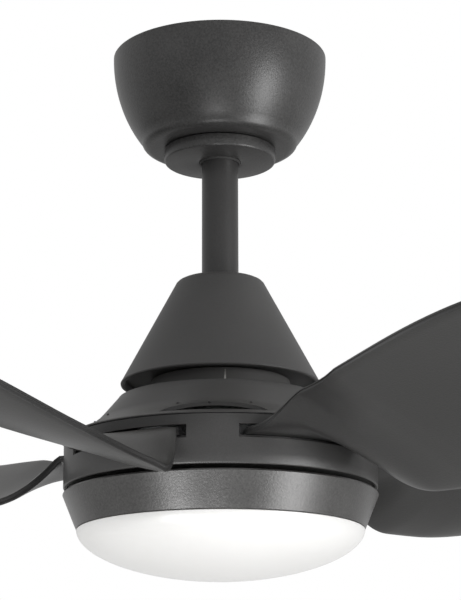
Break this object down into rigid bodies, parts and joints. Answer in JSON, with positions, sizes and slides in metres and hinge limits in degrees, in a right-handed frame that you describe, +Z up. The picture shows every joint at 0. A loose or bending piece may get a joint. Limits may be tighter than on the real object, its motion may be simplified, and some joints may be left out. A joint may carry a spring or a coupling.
{
  "type": "ceiling fan with light",
  "caption": "Matt black paddle-blade ceiling fan on a short downrod, with a tapered motor housing and a round opal light under it.",
  "frame": {"origin": "centre of the bracket face that meets the ceiling", "axes": "+Z up into the ceiling along the fan axis, -Y the side facing the viewer"},
  "size_m": [1.1785, 1.1398, 0.3885],
  "materials": {
    "black_paint": "satin black powder coat",
    "black_plastic": "matt black moulding",
    "blade_plastic": "satin black moulding",
    "zinc_steel": "zinc plated",
    "cast_alloy": "as cast",
    "bright_steel": "ground",
    "lamination": "stacked laminations",
    "copper": "enamelled copper wire",
    "ferrite": "sintered magnet",
    "rubber": "matt",
    "white_plastic": "matt",
    "board_white": "solder mask",
    "opal": "opal, softly glossy"
  },
  "bodies": {
    "mount": {"ceiling_bracket": "zinc_steel", "canopy": "black_paint", "canopy_screw_1": "zinc_steel", "canopy_screw_2": "zinc_steel", "receiver_box": "white_plastic", "terminal_block": "white_plastic"},
    "hanging": {"hanger_ball": "black_plastic", "ball_cross_pin": "bright_steel", "ball_set_screw": "zinc_steel", "downrod": "black_paint", "rod_coupling": "cast_alloy", "coupling_pin": "bright_steel", "pin_clip": "zinc_steel", "coupling_set_screw_1": "zinc_steel", "coupling_set_screw_2": "zinc_steel", "cone_cover": "black_plastic", "seat_plate": "black_paint", "motor_shaft": "bright_steel", "stator_core": "lamination", "upper_winding": "copper", "lower_winding": "copper", "upper_inner_race": "bright_steel", "lower_inner_race": "bright_steel", "light_plate": "zinc_steel", "shaft_nut": "zinc_steel", "led_driver": "white_plastic", "led_board": "board_white", "light_ring": "black_paint", "ring_screw_1": "zinc_steel", "ring_screw_2": "zinc_steel", "ring_screw_3": "zinc_steel"},
    "cover": {"canopy_cover": "black_paint", "rod_grommet": "rubber"},
    "light_cover": {"diffuser": "opal"},
    "rotor": {"housing_cover": "black_plastic", "rotor_hub": "black_plastic", "motor_case": "cast_alloy", "motor_case_lid": "cast_alloy", "magnet_ring": "ferrite", "upper_outer_race": "bright_steel", "lower_outer_race": "bright_steel", "bottom_cover": "black_plastic", "blade_1": "blade_plastic", "blade_2": "blade_plastic", "blade_3": "blade_plastic", "blade_4": "blade_plastic", "blade_5": "blade_plastic", "blade_screw_1": "zinc_steel", "blade_screw_2": "zinc_steel", "blade_screw_3": "zinc_steel", "blade_screw_4": "zinc_steel", "blade_screw_5": "zinc_steel", "blade_screw_6": "zinc_steel", "blade_screw_7": "zinc_steel", "blade_screw_8": "zinc_steel", "blade_screw_9": "zinc_steel", "blade_screw_10": "zinc_steel", "hub_screw_1": "zinc_steel", "hub_screw_2": "zinc_steel", "hub_screw_3": "zinc_steel"}
  },
  "joints": [
    {"name": "hanger_rock", "type": "hinge", "parent": "mount", "child": "hanging", "pos_m": [0, 0, -0.033], "axis": [1, 0, 0], "range_deg": [-1.2, 1.2]},
    {"name": "cover_slide", "type": "slide", "parent": "hanging", "child": "cover", "axis": [0, 0, 1], "range_m": [-0.06, 0]},
    {"name": "rotor_spin", "type": "hinge", "parent": "hanging", "child": "rotor", "pos_m": [0, 0, -0.3039], "axis": [0, 0, 1], "continuous": true},
    {"name": "diffuser_twist", "type": "hinge", "parent": "hanging", "child": "light_cover", "pos_m": [0, 0, -0.35], "axis": [0, 0, 1], "range_deg": [0, 25]}
  ]
}
